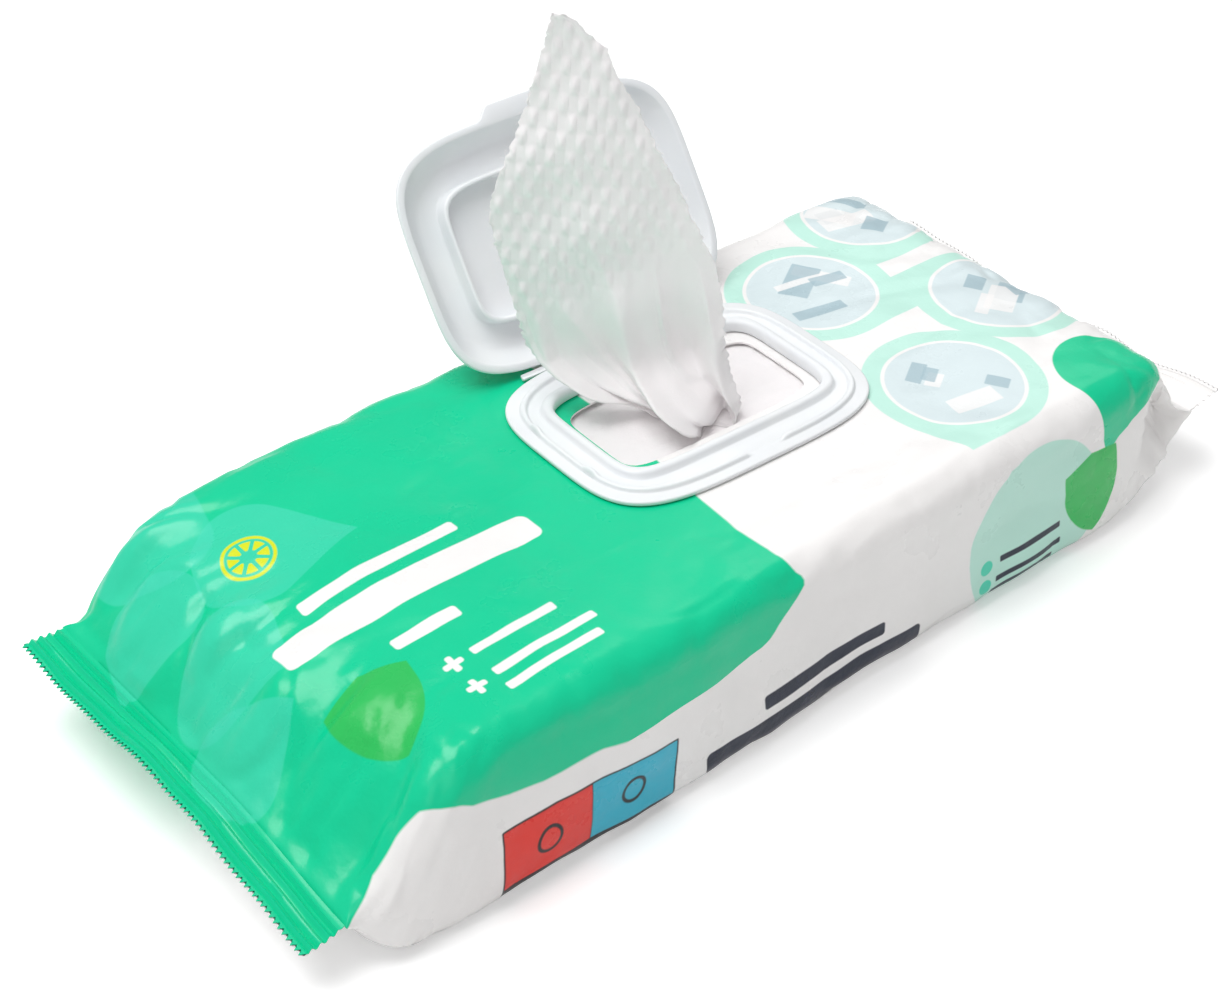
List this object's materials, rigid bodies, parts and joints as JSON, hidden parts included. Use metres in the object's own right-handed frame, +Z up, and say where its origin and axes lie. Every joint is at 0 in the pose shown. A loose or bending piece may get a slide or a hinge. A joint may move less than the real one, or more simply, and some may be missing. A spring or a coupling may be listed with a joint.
{
  "type": "wet wipes packet",
  "caption": "Film flow pack of folded wet wipes with crimped end seals, a plastic flip-lid closure standing open and one wipe pulled up through the mouth.",
  "frame": {"origin": "on the flat underside, below the middle of the packet's body", "axes": "+X along the packet to its white end, +Y to the hinge side of the lid, +Z up"},
  "size_m": [0.29, 0.1344, 0.1487],
  "materials": {
    "film": "glossy printed film, green and white fields",
    "closure": "satin moulded polypropylene, white",
    "wipe": "damp embossed non-woven, white"
  },
  "bodies": {
    "packet": {"film_wrapper": "film", "closure_base": "closure", "hinge_web": "closure", "wipe_01": "wipe", "wipe_02": "wipe", "wipe_03": "wipe", "wipe_04": "wipe", "wipe_05": "wipe", "wipe_06": "wipe", "wipe_07": "wipe", "wipe_08": "wipe", "wipe_09": "wipe", "wipe_10": "wipe", "wipe_11": "wipe", "wipe_12": "wipe", "wipe_13": "wipe", "wipe_14": "wipe", "wipe_15": "wipe", "wipe_16": "wipe", "wipe_17": "wipe", "wipe_18": "wipe", "wipe_19": "wipe", "wipe_20": "wipe", "wipe_21": "wipe", "wipe_22": "wipe", "wipe_23": "wipe", "wipe_24": "wipe", "wipe_25": "wipe", "wipe_26": "wipe", "wipe_27": "wipe", "wipe_28": "wipe", "wipe_29": "wipe", "wipe_30": "wipe", "wipe_31": "wipe", "wipe_32": "wipe", "wipe_33": "wipe", "wipe_34": "wipe", "wipe_35": "wipe", "wipe_36": "wipe", "wipe_37": "wipe", "wipe_38": "wipe", "wipe_39": "wipe", "wipe_40": "wipe", "pulled_wipe": "wipe"},
    "lid": {"closure_lid": "closure"}
  },
  "joints": [
    {"name": "lid_hinge", "type": "hinge", "parent": "packet", "child": "lid", "pos_m": [0.01304, 0.03688, 0.04695], "axis": [-0.9995, 0.0332, 0], "range_deg": [-124.65, 10], "deforming": ["hinge_web", "pulled_wipe"]}
  ]
}
